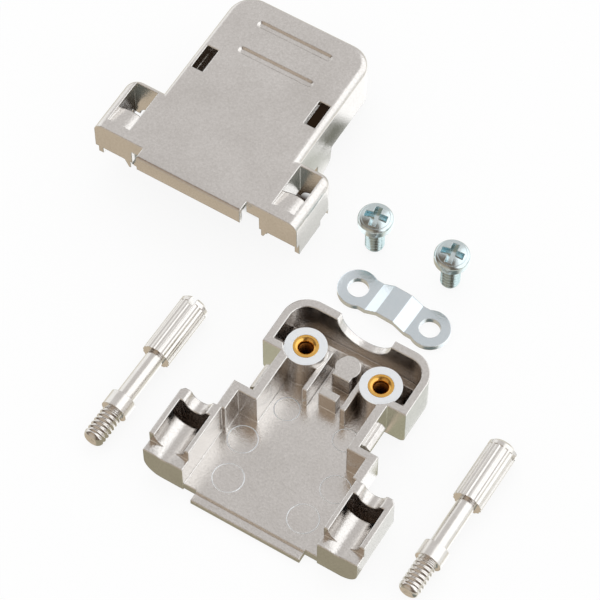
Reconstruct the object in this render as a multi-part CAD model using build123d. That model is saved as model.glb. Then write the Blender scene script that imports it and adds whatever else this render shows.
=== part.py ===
import os
from math import atan2, degrees, hypot

from build123d import *

os.makedirs("parts", exist_ok=True)

# Die-cast hood for a nine-way connector, taken apart and laid out beside its hardware.
# Every piece is modelled where it sits in the closed hood, then moved to its place on the table.
# Closed hood: x runs across, y runs back from the connector face, z rises from the underside.
# The base ends just below the thumbscrews' axis. An inset is measured forward from the rear face,
# a drop down from the base's rim or the axis. Lengths are millimetres and angles are degrees.

# Closed hood
screw_pitch = 24.99
flange_margin = 5.81
flange_depth = 9.2
hood_height = 14.0
rim_drop = 0.1
parting_gap = 0.05
body_width = 20.8
body_length = 28.5
rear_corner_radius = 3.5
wall = 1.0
rear_wall = 1.1
cable_hole_radius = 3.9

# Base shell
floor_thickness = 1.2
base_edge_radius = 2.5
base_corner_chamfer = 0.5
tongue_width = 15.7
tongue_reach = 1.2
tongue_height = 0.9
tongue_edge_radius = 0.15
notch_setback = 0.2
mouth_width = 19.4
post_length = 4.1
post_wall = 1.2
waist_setback = 2.7
waist_wall = 1.2
waist_edge_radius = 0.9
rear_block_length = 8.5
rear_edge_radius = 1.0
ledge_drop = 2.0
ledge_depth = 1.6
trough_radius = 2.2
trough_length = 5.8
neck_wall_start = 7.5
neck_notch_radius = 1.5
neck_edge_radius = 0.5
latch_rib_front_inset = 14.3
latch_rib_back_inset = 10.5
latch_rib_reach = 1.0
latch_rib_drop = 2.1
latch_rib_height = 1.0
boss_pitch = 10.92
boss_inset = 6.2
boss_diameter = 5.5
boss_drop = 0.5
ramp_front_inset = 4.5
ramp_crest_inset = 2.8
ramp_back_inset = 2.3
ramp_rise = 1.7
guide_spacing = 5.5
guide_thickness = 0.7
guide_front_inset = 11.0
guide_back_inset = 4.5
guide_drop = 1.9
tooth_width = 2.5
tooth_drop = 2.7
front_tooth_inset = 10.1
front_tooth_depth = 1.1
rear_tooth_inset = 6.8
rear_tooth_depth = 3.5
rear_tooth_radius = 1.65

# Cover shell
cover_plate = 1.0
cover_edge_radius = 1.0
flange_edge_radius = 1.3
flange_corner_radius = 1.8
lip_edge_radius = 0.35
lip_reach = 1.65
lip_thickness = 0.55
lip_height = 2.7
lip_plate = 0.7
brow_height = 2.3
front_wall = 1.0
front_wall_height = 4.8
spur_height = 1.3
spur_inner = 10.0
spur_width = 0.9
spur_foot = 0.3
leg_setback = 0.6
side_notch_start = 5.8
side_notch_end = 7.8
side_notch_height = 1.1
bridge_length = 4.5
bridge_radius = 3.9
bridge_fall = 0.6
bridge_thickness = 1.2
channel_roof_radius = 1.2
screw_window_width = 3.33
screw_window_start = 1.5
screw_window_end = 8.35
latch_window_setback = 0.95
latch_window_width = 1.71
latch_window_front_inset = 14.3
latch_window_back_inset = 10.3
tab_front_inset = 15.1
tab_back_inset = 11.5
tab_slant = 0.5
tab_drop = 3.4
tab_corner_radius = 1.6
barb_reach = 0.9
barb_height = 0.8
barb_gap = 0.15
bar_length = 11.3
bar_width = 1.1
bar_depth = 0.22
bar_slope = 45.0
front_bar_inset = 8.64
rear_bar_inset = 3.82

# Threaded inserts
insert_diameter = 3.3
insert_bore = 2.1
insert_length = 4.4
insert_chamfer = 0.3
insert_gap = 0.02

# Cable clamp
strip_thickness = 0.8
strip_width = 4.7
ear_diameter = 5.5
ear_gap = 0.12
clamp_hole = 2.8
arch_rise = 1.0
crest_length = 2.6
arch_length = 6.0

# Clamp screws
clamp_screw_diameter = 2.6
clamp_screw_length = 7.15
clamp_screw_chamfer = 0.3
clamp_head_diameter = 4.7
clamp_head_height = 1.7
clamp_head_chamfer = 0.5
cross_width = 2.5
cross_bar_width = 0.7
cross_depth = 1.0
cross_foot_width = 0.45
tip_gap = 0.35
shank_gap = 0.1

# Thumbscrews
thumb_head_diameter = 4.0
thumb_head_length = 9.1
thumb_head_chamfer = 0.35
thumb_neck_diameter = 2.45
thumb_neck_length = 7.2
thumb_collar_diameter = 3.6
thumb_collar_length = 2.15
thumb_thread_diameter = 2.845
thumb_thread_length = 4.9
thumb_tip_chamfer = 0.4
flute_count = 16
flute_radius = 0.5
flute_depth = 0.1
flute_start = 0.9
slot_width = 0.8
slot_depth = 1.3

# Lay-out on the table: how far across and back each piece stands, and how it is turned.
# A thumbscrew points forward from its head, its tip shifted across by the length given,
# and is rolled on by whole flutes, since it comes to rest on two lands.
cover_spot = (-18.0, 3.5)
base_spot = (11.6, -30.95)
clamp_spot = (11.15, 4.85)
clamp_screw_spots = {"left": (3.95, 12.2), "right": (15.1, 12.5)}
thumb_spots = {"left": (-10.3, -8.58), "right": (33.5, -6.1)}
clamp_angle = -2.34
clamp_screw_angles = {"left": 20.0, "right": 50.0}
thumb_tip_shifts = {"left": -0.7175, "right": -0.3953}
thumb_flutes_turned = {"left": 0, "right": 5}

# Left is minus x, right is plus x
SIDES = {"left": -1, "right": 1}

axis_height = hood_height / 2
base_height = axis_height - rim_drop
rim = base_height + parting_gap
boss_height = base_height - boss_drop
latch_rib_bottom = base_height - latch_rib_drop
half_pitch = screw_pitch / 2
flange_half = (screw_pitch + flange_margin) / 2
body_half = body_width / 2
waist_half = body_half - waist_setback


def from_rear(inset):
    return body_length - inset


def face_of(points):
    return make_face(Polyline(*points, close=True))


def upright(points, bottom, top):
    """A plan outline raised between two heights."""
    return Pos(0, 0, bottom) * extrude(face_of(points), amount=top - bottom)


def across(points, inner, outer):
    """An outline in the y-z plane drawn out along x between two planes."""
    return Pos(inner, 0, 0) * extrude(Plane.YZ * face_of(points), amount=outer - inner)


def along(points, front, back):
    """An outline in the x-z plane drawn out along y between two planes."""
    return Pos(0, back, 0) * extrude(Plane.XZ * face_of(points), amount=back - front)


def rectangle(inner, outer, front, back):
    return [(inner, front), (outer, front), (outer, back), (inner, back)]


def block(half_width, front, back, bottom, top):
    """A block across the middle of the hood."""
    return upright(rectangle(-half_width, half_width, front, back), bottom, top)


def round_bar(radius, x, z, front, back):
    """A round bar along y."""
    return Pos(x, (front + back) / 2, z) * Rot(90, 0, 0) * Cylinder(radius, back - front)


def upright_round(radius, bottom, top):
    """A round bar along z."""
    return Pos(0, 0, bottom) * extrude(Circle(radius), amount=top - bottom)


def mirrored(shape):
    return shape + mirror(shape, about=Plane.YZ)


def low_edges(shape):
    return shape.edges().group_by(Axis.Z)[0]


def high_edges(shape):
    return shape.edges().group_by(Axis.Z)[-1]


def rear_corners(shape, radius):
    """The two upright edges at the back rounded."""
    return fillet(shape.edges().filter_by(Axis.Z).group_by(Axis.Y)[-1], radius)


# Base shell: three rounded blocks and the tongue, hollowed from above
def build_base():
    post_end = flange_depth + post_length
    rear_start = from_rear(rear_block_length)
    flange = block(flange_half, 0, flange_depth, 0, base_height)
    flange = fillet(low_edges(flange).sort_by(Axis.Y)[1:], base_edge_radius)
    flange = chamfer(flange.edges().filter_by(Axis.Z).group_by(Axis.Y)[-1], base_corner_chamfer)
    posts = block(body_half, flange_depth / 2, post_end, 0, base_height)
    posts = fillet(low_edges(posts).sort_by(Axis.Y)[1:], base_edge_radius)
    waist = block(waist_half, flange_depth, rear_start + wall, 0, base_height)
    waist = fillet(low_edges(waist).filter_by(Axis.Y), waist_edge_radius)
    rear = rear_corners(block(body_half, rear_start, body_length, 0, base_height), rear_corner_radius)
    rear = fillet(low_edges(rear).sort_by(Axis.Y)[1:], rear_edge_radius)
    tongue = block(tongue_width / 2, -tongue_reach, ledge_depth, 0, tongue_height)
    tongue = fillet(low_edges(tongue).sort_by(Axis.Y)[:1], tongue_edge_radius)
    body = flange + posts + waist + rear + tongue

    # Main hollow, open at the front for the connector, with its steps from front to back
    widths = [(mouth_width / 2, -tongue_reach, flange_depth),
              (body_half - post_wall, flange_depth, post_end - wall),
              (waist_half - waist_wall, post_end - wall, rear_start + wall),
              (body_half - wall, rear_start + wall, body_length - rear_wall)]
    right = [(half, y) for half, front, back in widths for y in (front, back)]
    hollow = upright(right + [(-x, y) for x, y in reversed(right)], floor_thickness, hood_height)
    body -= rear_corners(hollow, rear_corner_radius - wall)
    body -= mirrored(upright(rectangle(tongue_width / 2, mouth_width / 2, -tongue_reach, notch_setback),
                             -floor_thickness, floor_thickness))

    # Thumbscrew channels: ledge, trough, pocket behind it and neck notch
    channel = across(rectangle(-ledge_depth, ledge_depth, axis_height - ledge_drop, hood_height),
                     mouth_width / 2, mouth_width / 2 + flange_half)
    channel += round_bar(trough_radius, half_pitch, axis_height, 0, neck_wall_start)
    channel += upright(rectangle(half_pitch - trough_radius, half_pitch + trough_radius,
                                 trough_length, neck_wall_start), floor_thickness, hood_height)
    channel += round_bar(neck_notch_radius, half_pitch, axis_height, neck_wall_start, post_end)
    body -= mirrored(channel)
    notch_edges = [edge for edge in body.edges().filter_by(Axis.Y)
                   if abs(edge.center().Z - base_height) < parting_gap
                   and edge.center().Y > neck_wall_start
                   and abs(abs(abs(edge.center().X) - half_pitch) - neck_notch_radius) < parting_gap]
    body = fillet(notch_edges, neck_edge_radius)

    # Latch ribs outside the waist
    rib_outer = waist_half + latch_rib_reach
    rib_top = latch_rib_bottom + latch_rib_height
    latch_rib = along([(waist_half - waist_wall, latch_rib_bottom), (rib_outer, latch_rib_bottom),
                       (rib_outer, (latch_rib_bottom + rib_top) / 2), ((waist_half + rib_outer) / 2, rib_top),
                       (waist_half - waist_wall, rib_top)],
                      from_rear(latch_rib_front_inset), from_rear(latch_rib_back_inset))
    body += mirrored(latch_rib)

    # Clamp bosses, ramp, guide ribs and gripping teeth in the rear chamber
    root = floor_thickness / 2
    chamber_half = body_half - wall
    ramp = across([(from_rear(ramp_front_inset), root), (from_rear(ramp_front_inset), floor_thickness),
                   (from_rear(ramp_crest_inset), floor_thickness + ramp_rise),
                   (from_rear(ramp_back_inset), floor_thickness),
                   (from_rear(ramp_back_inset), root)], -chamber_half, chamber_half)
    boss = Pos(boss_pitch / 2, from_rear(boss_inset), 0) * upright_round(boss_diameter / 2, root, boss_height)
    guide = upright(rectangle((guide_spacing - guide_thickness) / 2, (guide_spacing + guide_thickness) / 2,
                              from_rear(guide_front_inset), from_rear(guide_back_inset)),
                    root, base_height - guide_drop)
    tooth_height = base_height - tooth_drop
    front_tooth = block(tooth_width / 2, from_rear(front_tooth_inset),
                        from_rear(front_tooth_inset) + front_tooth_depth, root, tooth_height)
    rear_tooth_middle = from_rear(rear_tooth_inset) + rear_tooth_depth - rear_tooth_radius
    rear_tooth = block(tooth_width / 2, from_rear(rear_tooth_inset), rear_tooth_middle, root, tooth_height)
    rear_tooth += Pos(0, rear_tooth_middle, 0) * upright_round(rear_tooth_radius, root, tooth_height)
    body += ramp + mirrored(boss + guide) + front_tooth + rear_tooth

    # Insert bores with room for the screw tips, seats for the clamp ears, cable notch
    bore = upright_round(insert_diameter / 2 + insert_gap, boss_height - insert_length, hood_height)
    tip_bottom = boss_height + strip_thickness + clamp_head_height - clamp_screw_length - tip_gap
    bore += upright_round(clamp_screw_diameter / 2 + shank_gap, tip_bottom, hood_height)
    bore += upright_round(ear_diameter / 2 + ear_gap, boss_height, hood_height)
    body -= mirrored(Pos(boss_pitch / 2, from_rear(boss_inset), 0) * bore)
    body -= round_bar(cable_hole_radius, 0, axis_height, from_rear(ramp_back_inset), body_length + wall)
    return body


# Cover shell: a flat lid with the flange boxes, lip, windows and latch tabs
def build_cover():
    flange = rear_corners(block(flange_half, 0, flange_depth, rim, hood_height), flange_corner_radius)
    flange = fillet(high_edges(flange).sort_by(Axis.Y)[1:], flange_edge_radius)
    lid = rear_corners(block(body_half, flange_depth / 2, body_length, rim, hood_height), rear_corner_radius)
    lid = fillet(high_edges(lid).sort_by(Axis.Y)[1:], cover_edge_radius)
    lip = block(tongue_width / 2, -lip_reach, front_wall, hood_height - lip_height, hood_height)
    lip = fillet(high_edges(lip).sort_by(Axis.Y)[:1], lip_edge_radius)
    body = flange + lid + lip

    # Hollow of the lid with its plate left on top, and the groove for the connector's edge
    ceiling = hood_height - cover_plate
    lid_hollow = block(body_half - wall, front_wall, body_length - rear_wall, 0, ceiling)
    body -= rear_corners(lid_hollow, rear_corner_radius - wall)
    groove = block(tongue_width / 2, lip_thickness - lip_reach, front_wall, 0,
                   hood_height - lip_plate)
    body -= groove
    body -= mirrored(upright(rectangle(tongue_width / 2, mouth_width / 2, -front_wall, front_wall),
                             0, hood_height - brow_height))

    # Flange boxes: room for the collar, front opening, set-back legs, side notch and neck notch
    channel_outer = half_pitch + trough_radius
    flange_outside = flange_half + wall
    box = upright(rectangle(half_pitch - trough_radius, channel_outer, front_wall, bridge_length), 0,
                  hood_height - bridge_thickness - bridge_fall)
    box = fillet(high_edges(box).filter_by(Axis.Y), channel_roof_radius)
    box += round_bar(trough_radius, half_pitch, axis_height, front_wall, screw_window_end)
    box += upright(rectangle(half_pitch, channel_outer, bridge_length, screw_window_end), 0, ceiling)
    opening = hood_height - front_wall_height
    box += upright(rectangle(mouth_width / 2, channel_outer, -front_wall, front_wall), 0, opening)
    box += upright(rectangle(mouth_width / 2, flange_outside, -front_wall, leg_setback), 0, opening)
    box += upright(rectangle(channel_outer, flange_outside, side_notch_start, side_notch_end), 0,
                   rim + side_notch_height)
    box += round_bar(neck_notch_radius, half_pitch, axis_height, flange_depth - wall, flange_depth + wall)
    body -= mirrored(box)

    # Spur beside the front opening
    spur_bottom = opening - spur_height
    spur_outer = spur_inner + spur_width
    spur = along([(spur_inner, opening + wall), (spur_inner, spur_bottom), (spur_inner + spur_foot, spur_bottom),
                  (spur_outer, opening), (spur_outer, opening + wall)], 0, front_wall)
    body += mirrored(spur)

    # Thumbscrew windows, each with a crowned bridge falling away to the rear, and latch windows
    bridge_run = bridge_length - screw_window_start
    bridge_tilt = degrees(atan2(bridge_fall, bridge_run))
    crown = Cylinder(bridge_radius, 2 * hypot(bridge_run, bridge_fall))
    crown = Pos(half_pitch, screw_window_start, hood_height) * Rot(90 - bridge_tilt, 0, 0) * (
        Pos(0, -bridge_radius, 0) * crown)
    crown &= upright(rectangle(0, flange_half, 0, bridge_length), 0, hood_height)
    above = hood_height + wall
    windows = upright(rectangle(half_pitch - screw_window_width / 2, half_pitch + screw_window_width / 2,
                                screw_window_start, screw_window_end), axis_height, above) - crown
    latch_outer = body_half - latch_window_setback
    windows += upright(rectangle(latch_outer - latch_window_width, latch_outer,
                                 from_rear(latch_window_front_inset), from_rear(latch_window_back_inset)),
                       ceiling - wall, above)
    body -= mirrored(windows)

    # Latch tabs hanging from the side walls, each with its barb
    tab_start = from_rear(tab_front_inset)
    tab_end = from_rear(tab_back_inset)
    tab = across([(tab_start, rim + wall), (tab_start, rim - tab_drop), (tab_end - tab_slant, rim - tab_drop),
                  (tab_end, rim), (tab_end, rim + wall)], body_half - wall, body_half)
    tab_corner = low_edges(tab).filter_by(Axis.X).sort_by(Axis.Y)[-1:]
    tab = fillet(tab_corner, tab_corner_radius)
    barb_top = latch_rib_bottom - barb_gap
    barb_inner = body_half - wall - barb_reach
    barb = along([(body_half - wall, barb_top), (barb_inner, barb_top),
                  (barb_inner, barb_top - barb_height / 2), (body_half - wall, barb_top - barb_height)],
                 from_rear(latch_window_front_inset), tab_end - tab_slant)
    body += mirrored(tab + barb)

    # Two sunk bars with sloping sides on the lid, and the cable notch
    for inset in (front_bar_inset, rear_bar_inset):
        body -= Pos(0, from_rear(inset), hood_height) * extrude(
            SlotOverall(bar_length, bar_width), amount=-bar_depth, taper=bar_slope)
    body -= round_bar(cable_hole_radius, 0, axis_height, body_length - 2 * rear_wall, body_length + wall)
    return body


# Threaded insert, its foot on the bottom of the bore
def build_insert():
    outer = insert_diameter / 2
    bore = insert_bore / 2
    section = [(bore, 0), (outer, 0), (outer, insert_length), (bore + insert_chamfer, insert_length),
               (bore, insert_length - insert_chamfer)]
    return revolve(Plane.XZ * face_of(section), Axis.Z)


# Cable clamp: a strip folded up in the middle, its ears rounded
def build_clamp():
    half_length = (boss_pitch + ear_diameter) / 2
    crest = crest_length / 2
    foot = arch_length / 2
    lower = [(-half_length, 0), (-foot, 0), (-crest, arch_rise),
             (crest, arch_rise), (foot, 0), (half_length, 0)]
    upper = [(x, z + strip_thickness) for x, z in reversed(lower)]
    strip = along(lower + upper, -ear_diameter / 2, ear_diameter / 2)
    outline = Rectangle(boss_pitch, strip_width)
    holes = Sketch()
    for side in SIDES.values():
        outline += Pos(side * boss_pitch / 2, 0) * Circle(ear_diameter / 2)
        holes += Pos(side * boss_pitch / 2, 0) * Circle(clamp_hole / 2)
    return strip & extrude(outline - holes, amount=arch_rise + strip_thickness)


# Clamp screw standing on the end of its shank
def build_clamp_screw():
    shank = clamp_screw_diameter / 2
    head = clamp_head_diameter / 2
    under_head = clamp_screw_length - clamp_head_height
    section = [(0, 0), (shank - clamp_screw_chamfer, 0), (shank, clamp_screw_chamfer), (shank, under_head),
               (head, under_head), (head, clamp_screw_length), (0, clamp_screw_length)]
    screw = revolve(Plane.XZ * face_of(section), Axis.Z)
    screw = chamfer(high_edges(screw), clamp_head_chamfer)

    # Cross recess, narrowing to its foot
    bars = Rectangle(cross_width, cross_bar_width) + Rectangle(cross_bar_width, cross_width)
    recess_taper = degrees(atan2((cross_bar_width - cross_foot_width) / 2, cross_depth))
    recess = extrude(bars, amount=-cross_depth, taper=recess_taper)
    return screw - Pos(0, 0, clamp_screw_length) * recess


# Thumbscrew along z, the end of its head at the origin
def build_thumbscrew():
    head = thumb_head_diameter / 2
    neck = thumb_neck_diameter / 2
    collar = thumb_collar_diameter / 2
    thread = thumb_thread_diameter / 2
    collar_start = thumb_head_length + thumb_neck_length
    thread_start = collar_start + thumb_collar_length
    tip = thread_start + thumb_thread_length
    section = [(0, 0), (head - thumb_head_chamfer, 0), (head, thumb_head_chamfer), (head, thumb_head_length),
               (neck, thumb_head_length), (neck, collar_start), (collar, collar_start), (collar, thread_start),
               (thread, thread_start), (thread, tip - thumb_tip_chamfer),
               (thread - thumb_tip_chamfer, tip), (0, tip)]
    screw = revolve(Plane.XZ * face_of(section), Axis.Z)
    flute = Pos(head + flute_radius - flute_depth, 0, flute_start) * extrude(
        Circle(flute_radius), amount=thumb_head_length)
    for step in range(flute_count):
        screw -= Rot(0, 0, 360 * step / flute_count) * flute
    slot = Box(2 * thumb_head_diameter, slot_width, 2 * slot_depth)
    return screw - slot


# Lay the pieces out and give the whole set its origin
def placed(shape, spot, turn=0, lift=0):
    return Pos(*spot, lift) * Rot(0, 0, turn) * shape


base = build_base()
cover = build_cover()
insert = build_insert()
clamp_screw = build_clamp_screw()
thumbscrew = build_thumbscrew()

# The thumbscrew comes to rest on the front rims of its head and of its collar, its tip at plus x
run = thumb_neck_length + thumb_collar_length
thumb_length = thumb_head_length + run + thumb_thread_length
rest_tilt = degrees(atan2((thumb_head_diameter - thumb_collar_diameter) / 2, run))

pieces = {
    "cover_shell": placed(cover, cover_spot, lift=-cover.bounding_box().min.Z),
    "base_shell": placed(base, base_spot),
    "cable_clamp": placed(build_clamp(), clamp_spot, clamp_angle),
}
for name, side in SIDES.items():
    seat = Pos(side * boss_pitch / 2, from_rear(boss_inset), boss_height - insert_length) * insert
    pieces["threaded_insert_" + name] = placed(seat, base_spot)
    pieces["clamp_screw_" + name] = placed(clamp_screw, clamp_screw_spots[name], clamp_screw_angles[name])
    thumb_angle = degrees(atan2(-thumb_length, thumb_tip_shifts[name]))
    thumb_roll = 360 * thumb_flutes_turned[name] / flute_count
    lying = Rot(0, 90 + rest_tilt, 0) * Rot(0, 0, thumb_roll) * thumbscrew
    lying_lift = -lying.bounding_box().min.Z
    pieces["thumbscrew_" + name] = placed(lying, thumb_spots[name], thumb_angle, lying_lift)

boxes = [shape.bounding_box() for shape in pieces.values()]
middle_x = (min(box.min.X for box in boxes) + max(box.max.X for box in boxes)) / 2
middle_y = (min(box.min.Y for box in boxes) + max(box.max.Y for box in boxes)) / 2
for name, shape in pieces.items():
    export_step(Pos(-middle_x, -middle_y, 0) * shape, "parts/" + name + ".step")
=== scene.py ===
from math import cos, pi, radians, sin

import bmesh
import bpy
import numpy as np
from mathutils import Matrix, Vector


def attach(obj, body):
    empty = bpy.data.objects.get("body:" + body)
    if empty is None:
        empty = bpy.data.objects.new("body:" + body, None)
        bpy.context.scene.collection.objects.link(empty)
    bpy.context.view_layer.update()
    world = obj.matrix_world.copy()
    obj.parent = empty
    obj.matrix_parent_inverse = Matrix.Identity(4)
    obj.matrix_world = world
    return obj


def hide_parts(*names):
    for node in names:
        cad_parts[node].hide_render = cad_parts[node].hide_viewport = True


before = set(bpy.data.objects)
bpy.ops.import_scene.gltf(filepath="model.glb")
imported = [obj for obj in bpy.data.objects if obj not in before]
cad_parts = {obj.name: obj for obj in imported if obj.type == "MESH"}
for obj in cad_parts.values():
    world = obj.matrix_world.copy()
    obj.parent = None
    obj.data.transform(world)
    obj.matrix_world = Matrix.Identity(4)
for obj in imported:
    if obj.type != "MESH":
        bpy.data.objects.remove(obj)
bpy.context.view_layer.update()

# The camera. The set is seen from its front right, steeply from above, through a long lens,
# so that near and far pieces keep almost the same size.
CAMERA_AZIMUTH = radians(31.4)
CAMERA_ELEVATION = radians(59.05)
CAMERA_DISTANCE = 0.38645
CAMERA_AIM = Vector((-0.0010477, 0.000075, 0.0))
LENS = 180.0
SENSOR = 36.0
NEAREST_SEEN = 0.01

eye = Vector((sin(CAMERA_AZIMUTH) * cos(CAMERA_ELEVATION),
              -cos(CAMERA_AZIMUTH) * cos(CAMERA_ELEVATION),
              sin(CAMERA_ELEVATION)))
camera_data = bpy.data.cameras.new("camera")
camera_data.lens = LENS
camera_data.sensor_width = SENSOR
camera_data.clip_start = NEAREST_SEEN
camera = bpy.data.objects.new("camera", camera_data)
camera.location = CAMERA_AIM + CAMERA_DISTANCE * eye
camera.rotation_euler = (-eye).to_track_quat("-Z", "Y").to_euler()
bpy.context.scene.collection.objects.link(camera)
bpy.context.scene.camera = camera
bpy.context.scene.view_settings.view_transform = "Standard"

# The table: plain, pale and matt. The camera sees it almost white, with the pieces' soft shadows on it.
# Polished metal mirrors the shade patches and the studio of the next two sections in its place.
TABLE_REACH = 1.5
TABLE_LEVEL = -0.00002
TABLE_PALE = (0.93, 0.93, 0.93)
TABLE_WHITE = (1, 1, 1)
TABLE_WHITENESS = 0.88


def mesh_piece(name, vertices, faces):
    """A mesh object at the origin from arrays of points and of faces."""
    mesh = bpy.data.meshes.new(name)
    mesh.from_pydata(np.asarray(vertices).tolist(), [], [list(face) for face in faces])
    mesh.update()
    piece = bpy.data.objects.new(name, mesh)
    bpy.context.scene.collection.objects.link(piece)
    return piece


def flat_patch(name, left, front, right, rear, level):
    """A rectangle facing up at a level, from its four sides."""
    return mesh_piece(name, [(left, front, level), (right, front, level),
                             (right, rear, level), (left, rear, level)], [(0, 1, 2, 3)])


table = flat_patch("table", -TABLE_REACH, -TABLE_REACH, TABLE_REACH, TABLE_REACH, TABLE_LEVEL)
table.visible_glossy = False
table_paint = bpy.data.materials.new("pale_table")
table_paint.use_nodes = True
nodes = table_paint.node_tree.nodes
links = table_paint.node_tree.links
nodes.clear()
table_out = nodes.new("ShaderNodeOutputMaterial")
table_matt = nodes.new("ShaderNodeBsdfDiffuse")
table_matt.inputs["Color"].default_value = (*TABLE_PALE, 1)
table_white = nodes.new("ShaderNodeEmission")
table_white.inputs["Color"].default_value = (*TABLE_WHITE, 1)
table_path = nodes.new("ShaderNodeLightPath")
table_share = nodes.new("ShaderNodeMath")
table_share.operation = "MULTIPLY"
table_share.inputs[1].default_value = TABLE_WHITENESS
table_seen = nodes.new("ShaderNodeMixShader")
links.new(table_path.outputs["Is Camera Ray"], table_share.inputs[0])
links.new(table_share.outputs[0], table_seen.inputs["Fac"])
links.new(table_matt.outputs[0], table_seen.inputs[1])
links.new(table_white.outputs[0], table_seen.inputs[2])
links.new(table_seen.outputs[0], table_out.inputs["Surface"])
table.data.materials.append(table_paint)

# Shade on the table. The cover stands on its tabs over a soft deep shade of its own; the other patches are
# the shadows that the pieces throw towards the viewer, seen only where the plate mirrors them.
SHADE_LEVEL = -0.00001
SHADES = {
    # left, front, right, rear and soft edge in metres, colour, whether the camera sees it
    "under_cover": ((-0.0292, 0.0075, -0.0100, 0.0318, 0.0022), (0.020, 0.012, 0.007), True),
    "under_left_box": ((-0.0335, 0.0070, -0.0275, 0.0156, 0.0018), (0.030, 0.018, 0.010), True),
    "under_right_box": ((-0.0117, 0.0070, -0.0060, 0.0152, 0.0018), (0.030, 0.018, 0.010), True),
    "before_base": ((-0.0120, -0.0480, 0.0300, -0.0285, 0.0005), (0.350, 0.320, 0.235), False),
    "before_left_chamber": ((-0.0030, -0.0170, 0.0029, -0.0103, 0.0005), (0.480, 0.470, 0.350), False),
    "before_right_chamber": ((0.0182, -0.0170, 0.0225, -0.0103, 0.0005), (0.400, 0.390, 0.280), False),
    "beside_cover": ((-0.0095, 0.0195, -0.0025, 0.0285, 0.0030), (0.130, 0.135, 0.100), False),
    "beside_cover_waist": ((-0.0095, 0.0150, -0.0025, 0.0225, 0.0030), (0.560, 0.580, 0.530), False),
    "beside_cover_box": ((-0.0042, 0.0030, 0.0010, 0.0165, 0.0012), (0.740, 0.750, 0.730), False),
    "beside_chamber": ((0.0205, -0.0125, 0.0250, 0.0015, 0.0010), (0.740, 0.760, 0.720), False),
    "beside_box": ((0.0256, -0.0315, 0.0300, -0.0175, 0.0010), (0.880, 0.890, 0.870), False),
}


def plain_light(card, colour, in_view=False):
    """Lights a card evenly in one colour, for mirroring metal alone, and for the camera if it is in view.
    Gives back the node tree of its material, the light in it and its output."""
    card.visible_camera = in_view
    card.visible_diffuse = False
    card.visible_shadow = False
    paint = bpy.data.materials.new(card.name)
    paint.use_nodes = True
    tree = paint.node_tree
    tree.nodes.clear()
    out = tree.nodes.new("ShaderNodeOutputMaterial")
    light = tree.nodes.new("ShaderNodeEmission")
    light.inputs["Color"].default_value = (*colour, 1)
    tree.links.new(light.outputs[0], out.inputs["Surface"])
    card.data.materials.append(paint)
    return tree, light, out


for place, ((left, front, right, rear, soft), colour, in_view) in SHADES.items():
    shade = flat_patch("shade_" + place, left, front, right, rear, SHADE_LEVEL)
    tree, light, out = plain_light(shade, colour, in_view)
    # A ramp rises inwards from each of the four sides, and the smallest of them is the shade's share
    where = tree.nodes.new("ShaderNodeTexCoord")
    axes = tree.nodes.new("ShaderNodeSeparateXYZ")
    tree.links.new(where.outputs["Object"], axes.inputs[0])
    share = None
    for axis, clear_at, full_at in (("X", left, left + soft), ("X", right, right - soft),
                                    ("Y", front, front + soft), ("Y", rear, rear - soft)):
        ramp = tree.nodes.new("ShaderNodeMapRange")
        ramp.interpolation_type = "SMOOTHSTEP"
        ramp.inputs["From Min"].default_value = clear_at
        ramp.inputs["From Max"].default_value = full_at
        tree.links.new(axes.outputs[axis], ramp.inputs["Value"])
        if share is None:
            share = ramp.outputs[0]
        else:
            smaller = tree.nodes.new("ShaderNodeMath")
            smaller.operation = "MINIMUM"
            tree.links.new(share, smaller.inputs[0])
            tree.links.new(ramp.outputs[0], smaller.inputs[1])
            share = smaller.outputs[0]
    clear = tree.nodes.new("ShaderNodeBsdfTransparent")
    fade = tree.nodes.new("ShaderNodeMixShader")
    tree.links.new(share, fade.inputs["Fac"])
    tree.links.new(clear.outputs[0], fade.inputs[1])
    tree.links.new(light.outputs[0], fade.inputs[2])
    tree.links.new(fade.outputs[0], out.inputs["Surface"])

# The studio, as polished metal sees it: brown in front, a grey soft box behind, white cards to the right
# and far left, and the pale table below. What is matt sees even white light all round.
ROOM_BROWN = (0.140, 0.104, 0.077)
CARDS = {
    # direction towards the card, cosine where it fades out, cosine where it is full, colour
    "front": ((-0.27, -0.90, 0.34), 0.72, 0.93, (0.520, 0.455, 0.385)),
    "above_front": ((-0.27, -0.48, 0.83), 0.88, 0.97, (0.440, 0.350, 0.265)),
    "rear": ((0.0, 1.0, 0.0), 0.08, 0.30, (0.66, 0.640, 0.628)),
    "right": ((0.80, 0.45, 0.40), 0.52, 0.66, (1.30, 1.30, 1.30)),
    "far_left": ((-0.95, 0.30, 0.10), 0.84, 0.91, (1.00, 1.00, 0.99)),
    "table": ((0.0, 0.0, -1.0), 0.15, 0.40, (0.74, 0.71, 0.63)),
    "table_rear_right": ((0.27, 0.44, -0.86), 0.80, 0.95, (1.25, 1.26, 1.26)),
    "table_front_left": ((-0.27, -0.44, -0.86), 0.62, 0.86, (0.57, 0.485, 0.375)),
    "table_front_right": ((0.32, -0.46, -0.82), 0.90, 0.97, (0.17, 0.19, 0.175)),
    "low_right": ((0.89, 0.44, -0.06), 0.965, 0.99, (0.84, 0.85, 0.84)),
}
EVEN_WHITE = (1, 1, 1)
EVEN_STRENGTH = 0.95

world = bpy.data.worlds.new("studio")
bpy.context.scene.world = world
world.use_nodes = True
nodes = world.node_tree.nodes
links = world.node_tree.links
nodes.clear()
room_out = nodes.new("ShaderNodeOutputWorld")
room_direction = nodes.new("ShaderNodeTexCoord")
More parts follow.
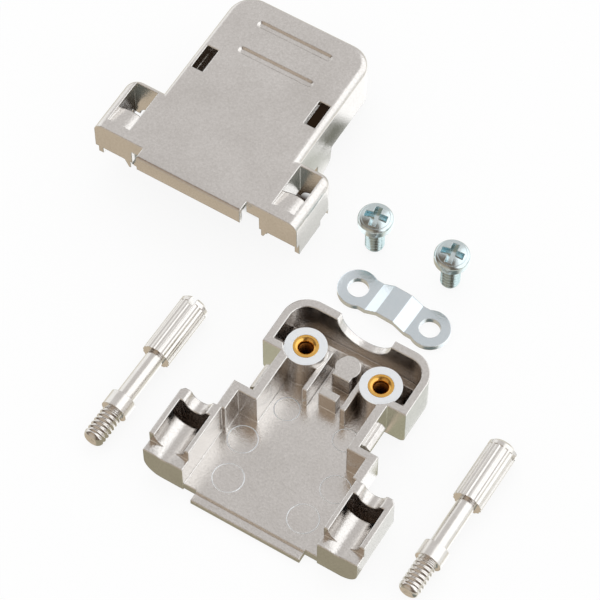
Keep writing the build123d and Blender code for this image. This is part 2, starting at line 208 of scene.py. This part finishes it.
# Each card lies over those before it, by how nearly the direction looked in is its own
seen = None
for direction, fade_at, full_at, colour in CARDS.values():
    facing = nodes.new("ShaderNodeVectorMath")
    facing.operation = "DOT_PRODUCT"
    facing.inputs[1].default_value = Vector(direction).normalized()
    card_share = nodes.new("ShaderNodeMapRange")
    card_share.interpolation_type = "SMOOTHSTEP"
    card_share.inputs["From Min"].default_value = fade_at
    card_share.inputs["From Max"].default_value = full_at
    over = nodes.new("ShaderNodeMix")
    over.data_type = "RGBA"
    over.inputs["A"].default_value = (*ROOM_BROWN, 1)
    over.inputs["B"].default_value = (*colour, 1)
    links.new(room_direction.outputs["Generated"], facing.inputs[0])
    links.new(facing.outputs["Value"], card_share.inputs["Value"])
    links.new(card_share.outputs[0], over.inputs["Factor"])
    if seen is not None:
        links.new(seen, over.inputs["A"])
    seen = over.outputs["Result"]
room_cards = nodes.new("ShaderNodeBackground")
links.new(seen, room_cards.inputs["Color"])
room_even = nodes.new("ShaderNodeBackground")
room_even.inputs["Color"].default_value = (*EVEN_WHITE, 1)
room_even.inputs["Strength"].default_value = EVEN_STRENGTH
room_path = nodes.new("ShaderNodeLightPath")
room_mix = nodes.new("ShaderNodeMixShader")
links.new(room_path.outputs["Is Glossy Ray"], room_mix.inputs["Fac"])
links.new(room_even.outputs[0], room_mix.inputs[1])
links.new(room_cards.outputs[0], room_mix.inputs[2])
links.new(room_mix.outputs[0], room_out.inputs["Surface"])

# The lamp: one large soft lamp above the left rear. It only gives the shadows on the table a side,
# and polished metal doesn't see it.
LAMP_SIZE = 0.5
LAMP_POWER = 0.4
LAMP_PLACE = (-0.25, 0.35, 0.6)

lamp_data = bpy.data.lights.new("soft_lamp", "AREA")
lamp_data.size = LAMP_SIZE
lamp_data.energy = LAMP_POWER
lamp = bpy.data.objects.new("soft_lamp", lamp_data)
lamp.location = LAMP_PLACE
lamp.rotation_euler = (-lamp.location).to_track_quat("-Z", "Y").to_euler()
lamp.visible_glossy = False
bpy.context.scene.collection.objects.link(lamp)

# The cover: a zinc die casting with thin nickel plate, as it comes from the mould, so its flat faces
# are faintly mottled and every edge is a little broken. It carries latch tabs and two sunk bars.
BROAD_SCALE = 160
BROAD_DETAIL = 4
FINE_DETAIL = 3
FINE_SHARPNESS = 0.7
FINE_SHARE = 0.65
EDGE_SAMPLES = 6
EDGE_WHOLE = 0.99
EDGE_RUBBED = 0.85
CAVITY_SAMPLES = 8
CAVITY_REACH = 0.005
CAVITY_OPEN = 0.3
TINT_FROM, TINT_TO = 0.35, 0.65
HAZE_FROM, HAZE_TO = 0.3, 0.7
HAZE_SWING = 0.05
DENT_HEIGHT = 0.00004
MERGE_WITHIN = 0.0000015
CREASE = radians(28)


def effect_group(name, inputs, outputs):
    """A node group with named sockets, and its entering and leaving node."""
    group = bpy.data.node_groups.new(name, "ShaderNodeTree")
    for sockets, way in ((inputs, "INPUT"), (outputs, "OUTPUT")):
        for socket, kind in sockets.items():
            group.interface.new_socket(socket, in_out=way, socket_type="NodeSocket" + kind)
    return group, group.nodes.new("NodeGroupInput"), group.nodes.new("NodeGroupOutput")


# Speckle: the height is fine noise, and the shade is a blend of that noise with a broad one
speckle, enter, leave = effect_group("casting_speckle", {"Vector": "Vector", "Grain Size": "Float"},
                                     {"Height": "Float", "Shade": "Float"})
fine = speckle.nodes.new("ShaderNodeTexNoise")
fine.inputs["Detail"].default_value = FINE_DETAIL
fine.inputs["Roughness"].default_value = FINE_SHARPNESS
broad = speckle.nodes.new("ShaderNodeTexNoise")
broad.inputs["Scale"].default_value = BROAD_SCALE
broad.inputs["Detail"].default_value = BROAD_DETAIL
both = speckle.nodes.new("ShaderNodeMix")
both.data_type = "FLOAT"
both.inputs["Factor"].default_value = FINE_SHARE
speckle.links.new(enter.outputs["Vector"], fine.inputs["Vector"])
speckle.links.new(enter.outputs["Vector"], broad.inputs["Vector"])
speckle.links.new(enter.outputs["Grain Size"], fine.inputs["Scale"])
speckle.links.new(broad.outputs["Fac"], both.inputs["A"])
speckle.links.new(fine.outputs["Fac"], both.inputs["B"])
speckle.links.new(fine.outputs["Fac"], leave.inputs["Height"])
speckle.links.new(both.outputs["Result"], leave.inputs["Shade"])

# Edge wear: the normal is the surface's with its edges rounded. An edge is whole where the cosine between
# that and the true normal is EDGE_WHOLE, and rubbed right through where it is EDGE_RUBBED.
edge_wear, enter, leave = effect_group("edge_wear", {"Radius": "Float"},
                                       {"Normal": "Vector", "Rubbed": "Float"})
rounded = edge_wear.nodes.new("ShaderNodeBevel")
rounded.samples = EDGE_SAMPLES
true_surface = edge_wear.nodes.new("ShaderNodeNewGeometry")
turned_away = edge_wear.nodes.new("ShaderNodeVectorMath")
turned_away.operation = "DOT_PRODUCT"
rubbed = edge_wear.nodes.new("ShaderNodeMapRange")
rubbed.inputs["From Min"].default_value = EDGE_WHOLE
rubbed.inputs["From Max"].default_value = EDGE_RUBBED
edge_wear.links.new(enter.outputs["Radius"], rounded.inputs["Radius"])
edge_wear.links.new(rounded.outputs[0], turned_away.inputs[0])
edge_wear.links.new(true_surface.outputs["Normal"], turned_away.inputs[1])
edge_wear.links.new(turned_away.outputs["Value"], rubbed.inputs["Value"])
edge_wear.links.new(rounded.outputs[0], leave.inputs["Normal"])
edge_wear.links.new(rubbed.outputs[0], leave.inputs["Rubbed"])

# Painted shade in cavities: the share of the directions that are open within Reach, eased so that Full At
# counts as all
painted_cavity_shade, enter, leave = effect_group("painted_cavity_shade", {"Reach": "Float", "Full At": "Float"}, {"Open": "Float"})
closed_in = painted_cavity_shade.nodes.new("ShaderNodeAmbientOcclusion")
closed_in.samples = CAVITY_SAMPLES
opened = painted_cavity_shade.nodes.new("ShaderNodeMapRange")
opened.interpolation_type = "SMOOTHSTEP"
painted_cavity_shade.links.new(enter.outputs["Reach"], closed_in.inputs["Distance"])
painted_cavity_shade.links.new(enter.outputs["Full At"], opened.inputs["From Max"])
painted_cavity_shade.links.new(closed_in.outputs["AO"], opened.inputs["Value"])
painted_cavity_shade.links.new(opened.outputs[0], leave.inputs["Open"])


def plated_metal(name, colour, worn, edge, cavity_shade, roughness, grain_size, dent_strength, edge_radius,
                 metallic=1, cavity_reach=CAVITY_REACH, cavity_open=CAVITY_OPEN):
    """Metal tinted between two colours and roughened by speckle, dented by its fine part, its edges broken
    by edge_radius and rubbed to the edge colour. In narrow places, where few directions are open, it is
    darkened towards the cavity colour: painted shade."""
    metal = bpy.data.materials.new(name)
    metal.use_nodes = True
    tree = metal.node_tree
    shader = tree.nodes["Principled BSDF"]
    shader.inputs["Metallic"].default_value = metallic
    where = tree.nodes.new("ShaderNodeTexCoord")
    grain = tree.nodes.new("ShaderNodeGroup")
    grain.node_tree = speckle
    grain.inputs["Grain Size"].default_value = grain_size
    edges = tree.nodes.new("ShaderNodeGroup")
    edges.node_tree = edge_wear
    edges.inputs["Radius"].default_value = edge_radius
    deep = tree.nodes.new("ShaderNodeGroup")
    deep.node_tree = painted_cavity_shade
    deep.inputs["Reach"].default_value = cavity_reach
    deep.inputs["Full At"].default_value = cavity_open
    spread = tree.nodes.new("ShaderNodeMapRange")
    spread.inputs["From Min"].default_value = TINT_FROM
    spread.inputs["From Max"].default_value = TINT_TO
    haze = tree.nodes.new("ShaderNodeMapRange")
    haze.inputs["From Min"].default_value = HAZE_FROM
    haze.inputs["From Max"].default_value = HAZE_TO
    haze.inputs["To Min"].default_value = roughness - HAZE_SWING
    haze.inputs["To Max"].default_value = roughness + HAZE_SWING
    dent = tree.nodes.new("ShaderNodeBump")
    dent.inputs["Strength"].default_value = dent_strength
    dent.inputs["Distance"].default_value = DENT_HEIGHT
    tint, rub, sink = (tree.nodes.new("ShaderNodeMix") for _ in range(3))
    for mix in (tint, rub, sink):
        mix.data_type = "RGBA"
    tint.inputs["A"].default_value = (*worn, 1)
    tint.inputs["B"].default_value = (*colour, 1)
    rub.inputs["B"].default_value = (*edge, 1)
    sink.inputs["A"].default_value = (*cavity_shade, 1)
    wires = tree.links
    wires.new(where.outputs["Object"], grain.inputs["Vector"])
    wires.new(grain.outputs["Shade"], spread.inputs["Value"])
    wires.new(spread.outputs[0], tint.inputs["Factor"])
    wires.new(tint.outputs["Result"], rub.inputs["A"])
    wires.new(edges.outputs["Rubbed"], rub.inputs["Factor"])
    wires.new(rub.outputs["Result"], sink.inputs["B"])
    wires.new(deep.outputs["Open"], sink.inputs["Factor"])
    wires.new(sink.outputs["Result"], shader.inputs["Base Color"])
    wires.new(grain.outputs["Shade"], haze.inputs["Value"])
    wires.new(haze.outputs[0], shader.inputs["Roughness"])
    wires.new(grain.outputs["Height"], dent.inputs["Height"])
    wires.new(edges.outputs["Normal"], dent.inputs["Normal"])
    wires.new(dent.outputs[0], shader.inputs["Normal"])
    return metal


# Its dark brown cavity colour is painted shade in the pockets and corners of cover and base.
nickel_casting = plated_metal("nickel_casting", colour=(0.87, 0.85, 0.83), worn=(0.71, 0.685, 0.66),
                              edge=(0.97, 0.96, 0.94), cavity_shade=(0.15, 0.105, 0.075), roughness=0.19,
                              grain_size=3600, dent_strength=0.65, edge_radius=0.00025)


def joined_copy(node, name, metal):
    """The CAD node's shape with its loose triangles merged and shaded smooth up to its sharp edges."""
    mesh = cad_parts[node].data.copy()
    mesh.name = name
    mesh.materials.clear()
    work = bmesh.new()
    work.from_mesh(mesh)
    bmesh.ops.remove_doubles(work, verts=work.verts, dist=MERGE_WITHIN)
    work.to_mesh(mesh)
    work.free()
    if "custom_normal" in mesh.attributes:
        mesh.attributes.remove(mesh.attributes["custom_normal"])
    mesh.polygons.foreach_set("use_smooth", np.ones(len(mesh.polygons), bool))
    mesh.set_sharp_from_angle(angle=CREASE)
    mesh.materials.append(metal)
    piece = bpy.data.objects.new(name, mesh)
    bpy.context.scene.collection.objects.link(piece)
    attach(piece, "root")
    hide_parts(node)
    return piece


cover = joined_copy("cover_shell", "cover", nickel_casting)

# The base: the same casting and plate, open upwards, with its walls, bosses and ribs. The boss tops
# are machined bright, and ejector pins have left low rings on the floor.
BASE_ORIGIN = (0.0105531, -0.030875)
BOSS_PLACES = ((-0.00546, 0.0223), (0.00546, 0.0223))
BOSS_TOP = 0.0064
BOSS_REACH = 0.00288
TOP_WITHIN = 0.00001
FACING_UP = 0.9

base = joined_copy("base_shell", "base", nickel_casting)
# Bright plate for the machined boss tops, also laid on the ejector rings below as a painted highlight.
machined_nickel_and_ring_highlight = plated_metal("machined_nickel_and_ring_highlight", colour=(0.96, 0.985, 1.0), worn=(0.90, 0.94, 0.99),
                               edge=(0.99, 0.99, 0.98), cavity_shade=(0.92, 0.96, 1.0), roughness=0.42,
                               grain_size=5200, dent_strength=0.3, edge_radius=0.00012, metallic=0.55)
base.data.materials.append(machined_nickel_and_ring_highlight)
face_count = len(base.data.polygons)
face_middles = np.empty(3 * face_count)
face_normals = np.empty(3 * face_count)
base.data.polygons.foreach_get("center", face_middles)
base.data.polygons.foreach_get("normal", face_normals)
face_middles = face_middles.reshape(-1, 3)
face_rises = face_normals.reshape(-1, 3)[:, 2]
on_top = (np.abs(face_middles[:, 2] - BOSS_TOP) < TOP_WITHIN) & (face_rises > FACING_UP)
near_boss = np.zeros(face_count, bool)
for boss_x, boss_y in BOSS_PLACES:
    near_boss |= np.hypot(face_middles[:, 0] - BASE_ORIGIN[0] - boss_x,
                          face_middles[:, 1] - BASE_ORIGIN[1] - boss_y) < BOSS_REACH
base.data.polygons.foreach_set("material_index", (on_top & near_boss).astype(np.int32))

RING_PLACES = {
    # across and back from the base's origin, radius
    "front_left": (-0.00544, 0.00375, 0.00202), "front_right": (0.00544, 0.00375, 0.00202),
    "middle_left": (-0.00678, 0.0093, 0.00195), "middle_right": (0.00678, 0.0093, 0.00195),
    "waist_left": (-0.0043, 0.01585, 0.00165), "waist_right": (0.0043, 0.01585, 0.00165),
}
FLOOR = 0.0012
RING_WIDTH = 0.00016
RING_HEIGHT = 0.00007
RING_SINK = 0.000005
RING_STEPS = 7
COLUMNS = 72
TURNED_CREASE = radians(38)
UPRIGHT = (0, 0, 1)


def turned_surface(name, radius, along, origin, axis, metal, first_pole=None, last_pole=None):
    """A surface of rings about an axis: row i, column j lies at radius[i, j] from it and along[i, j] up it.
    The columns run once round, from the side nearest to x, and a pole closes an end with a point."""
    rows, columns = radius.shape
    turn = np.linspace(0, 2 * pi, columns, endpoint=False)
    up = Vector(axis).normalized()
    side = (Vector((1, 0, 0)) - up * up.x).normalized()
    front = up.cross(side)
    points = (np.array(origin) + (radius * np.cos(turn))[..., None] * np.array(side)
              + (radius * np.sin(turn))[..., None] * np.array(front) + along[..., None] * np.array(up))
    points = points.reshape(-1, 3)
    number = np.arange(rows * columns).reshape(rows, columns)
    lower, upper = number[:-1], number[1:]
    quads = np.stack([lower, np.roll(lower, -1, axis=1), np.roll(upper, -1, axis=1), upper], axis=-1)
    faces = quads.reshape(-1, 4).tolist()
    for pole, ring, flip in ((first_pole, number[0], True), (last_pole, number[-1], False)):
        if pole is not None:
            tip = len(points)
            points = np.vstack([points, np.array(origin) + pole * np.array(up)])
            around = [ring, np.roll(ring, -1), np.full(columns, tip)]
            faces += np.stack(around[::-1] if flip else around, axis=-1).tolist()
    piece = mesh_piece(name, points, faces)
    piece.data.polygons.foreach_set("use_smooth", np.ones(len(faces), bool))
    piece.data.set_sharp_from_angle(angle=TURNED_CREASE)
    piece.data.materials.append(metal)
    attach(piece, "root")
    return piece


for place, (ring_x, ring_y, ring_radius) in RING_PLACES.items():
    # A low round-backed ridge: across it the height is half a sine wave
    share = np.linspace(0, 1, RING_STEPS)[::-1, None]
    round_ridge = np.ones(COLUMNS)
    # The ring wears the boss tops' bright plate: a painted highlight along it.
    ring = turned_surface("ejector_ring_" + place,
                          (ring_radius + RING_WIDTH * (share - 0.5)) * round_ridge,
                          (RING_HEIGHT * np.sin(pi * share) - RING_SINK) * round_ridge,
                          (BASE_ORIGIN[0] + ring_x, BASE_ORIGIN[1] + ring_y, FLOOR), UPRIGHT,
                          machined_nickel_and_ring_highlight)
    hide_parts("base_shell")

# The two brass inserts, turned, threaded and pressed into the bosses. Each is a tube whose mouth is
# countersunk in a round sweep, with its thread below.
INSERT_FOOT = 0.0020
INSERT_LENGTH = 0.0044
INSERT_OUTER = 0.00165
INSERT_MOUTH = 0.00140
INSERT_CORE = 0.00088
INSERT_SINK = 0.00060
INSERT_THREAD_DEPTH = 0.00022
INSERT_PITCH = 0.00045
SINK_STEPS = 9
BORE_STEPS = 110
THREAD_FLAT = 0.12
THREAD_FLANK = 0.76

turned_brass = plated_metal("turned_brass", colour=(0.96, 0.58, 0.16), worn=(0.88, 0.49, 0.12),
                            edge=(1.0, 0.74, 0.32), cavity_shade=(0.60, 0.28, 0.06), roughness=0.22,
                            grain_size=1500, dent_strength=0.1, edge_radius=0.00008)
# The bore takes a darker copy of the turned brass: painted shade inside the bore, deepest where its cavity
# colour comes in.
shaded_bore_brass = plated_metal("shaded_bore_brass", colour=(0.42, 0.17, 0.04), worn=(0.30, 0.11, 0.025),
                            edge=(0.60, 0.28, 0.08), cavity_shade=(0.05, 0.015, 0.006), roughness=0.5,
                            grain_size=1500, dent_strength=0.2, edge_radius=0.00004)


def thread_radius(along, turn, crest, depth, pitch):
    """Radius of a right-hand thread: crest, less its depth in a V groove that climbs a pitch every turn."""
    phase = (along / pitch - turn / (2 * pi)) % 1
    return crest - depth * (1 - np.clip((np.abs(2 * phase - 1) - THREAD_FLAT) / THREAD_FLANK, 0, 1))


def fading(along, start, end, reach):
    """One between start and end, falling to zero over reach at both."""
    return np.clip(np.minimum(along - start, end - along) / reach, 0, 1)


turn_grid = np.linspace(0, 2 * pi, COLUMNS, endpoint=False)[None, :]
level = np.ones((1, COLUMNS))
for side, (boss_x, boss_y) in zip(("left", "right"), BOSS_PLACES):
    # The body runs up the outside, over the rim and down the countersink, a quarter of an ellipse
    spot = (BASE_ORIGIN[0] + boss_x, BASE_ORIGIN[1] + boss_y, INSERT_FOOT)
    sink_share = np.linspace(0, 1, SINK_STEPS)[:, None]
    sink_radius = INSERT_MOUTH + (INSERT_CORE - INSERT_MOUTH) * np.sin(sink_share * pi / 2)
    sink_along = INSERT_LENGTH - INSERT_SINK * (1 - np.cos(sink_share * pi / 2))
    insert = turned_surface("insert_" + side,
                            np.vstack([INSERT_CORE * level, INSERT_OUTER * level, INSERT_OUTER * level,
                                       sink_radius * level]),
                            np.vstack([0 * level, 0 * level, INSERT_LENGTH * level, sink_along * level]),
                            spot, UPRIGHT, turned_brass)
    # The thread runs down the bore, between the countersink and the foot
    bore_top = INSERT_LENGTH - INSERT_SINK
    bore_along = np.linspace(bore_top, 0, BORE_STEPS)[:, None]
    groove = thread_radius(bore_along, turn_grid, 0, INSERT_THREAD_DEPTH, INSERT_PITCH)
    bore_radius = INSERT_CORE - groove * fading(bore_along, 0, bore_top, INSERT_PITCH / 2)
    bore = turned_surface("insert_thread_" + side, bore_radius, bore_along * level, spot, UPRIGHT,
                          shaded_bore_brass)
    for piece in (insert, bore):
        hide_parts("threaded_insert_" + side)

# The cable clamp: a strip of zinc-plated steel, punched out and folded up in the middle. A bright card
# stands at its left, where its folds mirror it.
CARD_X = 0.0005
CARD_FRONT = 0.0020
CARD_REAR = 0.0110
CARD_HEIGHT = 0.0050
CARD_WHITE = (1.2, 1.2, 1.2)

zinc_plate = plated_metal("zinc_plate", colour=(0.82, 0.89, 0.94), worn=(0.76, 0.85, 0.91),
                          edge=(0.93, 0.95, 0.96), cavity_shade=(0.60, 0.64, 0.60), roughness=0.2,
                          grain_size=2600, dent_strength=0.5, edge_radius=0.00016)
clamp = joined_copy("cable_clamp", "clamp", zinc_plate)
side_card = mesh_piece("side_card", [(CARD_X, CARD_FRONT, 0), (CARD_X, CARD_REAR, 0),
                                     (CARD_X, CARD_REAR, CARD_HEIGHT), (CARD_X, CARD_FRONT, CARD_HEIGHT)],
                       [(0, 1, 2, 3)])
plain_light(side_card, CARD_WHITE)

# The two clamp screws: cold-headed pan heads with a cross recess and a rolled thread, zinc-plated.
# Each stands on the end of its shank.
SCREW_PLACES = {"left": (0.0029031, 0.012275), "right": (0.0140531, 0.012575)}
CROSS_ANGLES = {"left": radians(11), "right": radians(9)}
SHANK_RADIUS = 0.0013
SHANK_CHAMFER = 0.0003
SHANK_LENGTH = 0.00545
SHANK_DEPTH = 0.00030
SHANK_PITCH = 0.000635
SHANK_STEPS = 150
HEAD_RADIUS = 0.00235
HEAD_TOP = 0.00715
HEAD_ROUND = 0.00050
HEAD_ROUND_DROP = 0.00050
HEAD_CROWN = 0.00032
HEAD_COLUMNS = 3 * COLUMNS
RIM_STEPS = 12
CROWN_STEPS = 60
CROWN_INNER = 0.00002
CROSS_REACH = 0.00152
CROSS_HALF_WIDTH = 0.00048
CROSS_RUN = 0.00020
CROSS_DEPTH = 0.0010

# Each falls to its cavity colour as painted shade: the head in its cross recess, the shank, with a short
# reach, in the grooves of its thread.
blue_zinc = plated_metal("blue_zinc", colour=(0.78, 0.87, 0.89), worn=(0.68, 0.79, 0.82),
                         edge=(0.92, 0.97, 0.98), cavity_shade=(0.34, 0.62, 0.70), roughness=0.2,
                         grain_size=2400, dent_strength=0.3, edge_radius=0.00006)
rolled_zinc = plated_metal("rolled_zinc", colour=(0.66, 0.79, 0.80), worn=(0.54, 0.68, 0.70),
                           edge=(0.86, 0.93, 0.94), cavity_shade=(0.05, 0.11, 0.12), roughness=0.22,
                           grain_size=2400, dent_strength=0.3, edge_radius=0.00003,
                           cavity_reach=0.0006, cavity_open=0.95)
for side, (screw_x, screw_y) in SCREW_PLACES.items():
    # Shank: the end chamfered, then the thread, fading out under the head
    shank_along = np.linspace(0, SHANK_LENGTH, SHANK_STEPS)[:, None]
    cut = thread_radius(shank_along, turn_grid, SHANK_RADIUS, SHANK_DEPTH, SHANK_PITCH)
    runs = fading(shank_along, 0, SHANK_LENGTH - SHANK_PITCH, SHANK_PITCH / 2)
    shank_radius = np.minimum(SHANK_RADIUS - (SHANK_RADIUS - cut) * runs,
                              SHANK_RADIUS - SHANK_CHAMFER + shank_along)
    shank = turned_surface("clamp_screw_shank_" + side, shank_radius, shank_along * level,
                           (screw_x, screw_y, 0), UPRIGHT, rolled_zinc, first_pole=0.0)
    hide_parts("clamp_screw_" + side)

    # Head: flat under side, rim rounded as a quarter of an ellipse, then a crown that falls with the square
    # of the radius. The cross is sunk into it by how far a point is inside the nearer arm, its walls leaning.
    wide = np.ones((1, HEAD_COLUMNS))
    rim_share = np.linspace(0, 1, RIM_STEPS)[:, None]
    rim_radius = HEAD_RADIUS - HEAD_ROUND * (1 - np.cos(rim_share * pi / 2))
    rim_along = HEAD_TOP - HEAD_CROWN - HEAD_ROUND_DROP * (1 - np.sin(rim_share * pi / 2))
    crown_reach = HEAD_RADIUS - HEAD_ROUND
    crown_radius = np.linspace(crown_reach, CROWN_INNER, CROWN_STEPS)[1:, None] * wide
    crown_turn = np.linspace(0, 2 * pi, HEAD_COLUMNS, endpoint=False)[None, :] - CROSS_ANGLES[side]
    cross_x = np.abs(crown_radius * np.cos(crown_turn))
    cross_y = np.abs(crown_radius * np.sin(crown_turn))
    long_way = np.maximum(cross_x, cross_y)
    short_way = np.minimum(cross_x, cross_y)
    inside = np.minimum(CROSS_REACH - long_way, CROSS_HALF_WIDTH - short_way)
    sunk = CROSS_DEPTH * np.clip(inside / CROSS_RUN, 0, 1)
    crown_along = HEAD_TOP - HEAD_CROWN * (crown_radius / crown_reach) ** 2 - sunk
    head_radius = np.vstack([(SHANK_RADIUS - SHANK_DEPTH) * wide, HEAD_RADIUS * wide, rim_radius * wide,
                             crown_radius])
    head_along = np.vstack([SHANK_LENGTH * wide, SHANK_LENGTH * wide, rim_along * wide, crown_along])
    head = turned_surface("clamp_screw_head_" + side, head_radius, head_along,
                          (screw_x, screw_y, 0), UPRIGHT, blue_zinc, last_pole=HEAD_TOP - CROSS_DEPTH)
    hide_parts("clamp_screw_" + side)

# The two thumbscrews: nickel-plated steel, turned, with a fluted and slotted head, a long neck, a collar
# and a rolled thread. They lie on the table; the head, neck and collar keep the CAD shape.
THUMB_PLACES = {"left": (-0.0113469, -0.008505), "right": (0.0324531, -0.006025)}
THUMB_HEADINGS = {"left": radians(-91.760034), "right": radians(-90.969887)}
THUMB_LIFT = 0.00219415
THUMB_TILT = radians(1.2253913)
THREAD_START = 0.01845
THREAD_LENGTH = 0.0049
THREAD_CREST = 0.0014225
THREAD_DEPTH = 0.00019
THREAD_PITCH = 0.000635
THREAD_RELIEF = 0.0004
THREAD_STEPS = 110
THREAD_WITHIN = 0.000005
TIP_ROUND = 0.00085
TIP_DROP = 0.00070
TIP_DIMPLE = 0.00040
DIMPLE_DEPTH = 0.0002

# Its brown cavity colour is painted shade in the grooves and hollows of the thumbscrews.
nickel_steel = plated_metal("nickel_steel", colour=(0.88, 0.86, 0.84), worn=(0.80, 0.775, 0.74),
                            edge=(0.98, 0.97, 0.96), cavity_shade=(0.42, 0.38, 0.31), roughness=0.21,
                            grain_size=1800, dent_strength=0.3, edge_radius=0.00010)


def without_thread(mesh, origin, axis):
    """The mesh less the faces beyond the collar that lie within the thread's radius."""
    work = bmesh.new()
    work.from_mesh(mesh)
    start, end = Vector(origin), Vector(axis).normalized()
    gone = []
    for face in work.faces:
        ahead = [(corner.co - start).dot(end) for corner in face.verts]
        apart = [(corner.co - start).cross(end).length for corner in face.verts]
        if min(ahead) > THREAD_START - THREAD_WITHIN and max(apart) < THREAD_CREST + THREAD_WITHIN:
            gone.append(face)
    bmesh.ops.delete(work, geom=gone, context="FACES")
    work.to_mesh(mesh)
    work.free()


for side, (thumb_x, thumb_y) in THUMB_PLACES.items():
    heading = THUMB_HEADINGS[side]
    origin = (thumb_x, thumb_y, THUMB_LIFT)
    axis = (cos(THUMB_TILT) * cos(heading), cos(THUMB_TILT) * sin(heading), -sin(THUMB_TILT))
    thumbscrew = joined_copy("thumbscrew_" + side, "thumbscrew_body_" + side, nickel_steel)
    without_thread(thumbscrew.data, origin, axis)

    # Thread: a relief groove at the collar, the helix, then a tip rounded as a quarter of an ellipse, with
    # a dimple left by the lathe
    thread_along = np.linspace(0, THREAD_LENGTH, THREAD_STEPS)[:, None]
    cut = thread_radius(thread_along, turn_grid, THREAD_CREST, THREAD_DEPTH, THREAD_PITCH)
    runs = fading(thread_along, 0, THREAD_LENGTH - TIP_ROUND / 2, THREAD_RELIEF)
    relief = THREAD_CREST - THREAD_DEPTH * fading(thread_along, 0, THREAD_RELIEF, THREAD_RELIEF / 4)
    thread = np.minimum(THREAD_CREST - (THREAD_CREST - cut) * runs, relief)
    into_tip = np.clip((thread_along - THREAD_LENGTH + TIP_ROUND) / TIP_ROUND, 0, 1)
    thread = np.minimum(thread, THREAD_CREST - TIP_DROP * (1 - np.sqrt(1 - into_tip ** 2)))
    radius = np.vstack([thread, TIP_DIMPLE * level])
    along = np.vstack([thread_along * level, THREAD_LENGTH * level])
    threaded = turned_surface("thumbscrew_thread_" + side, radius, THREAD_START + along, origin, axis,
                              nickel_steel, last_pole=THREAD_START + THREAD_LENGTH - DIMPLE_DEPTH)
    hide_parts("thumbscrew_" + side)
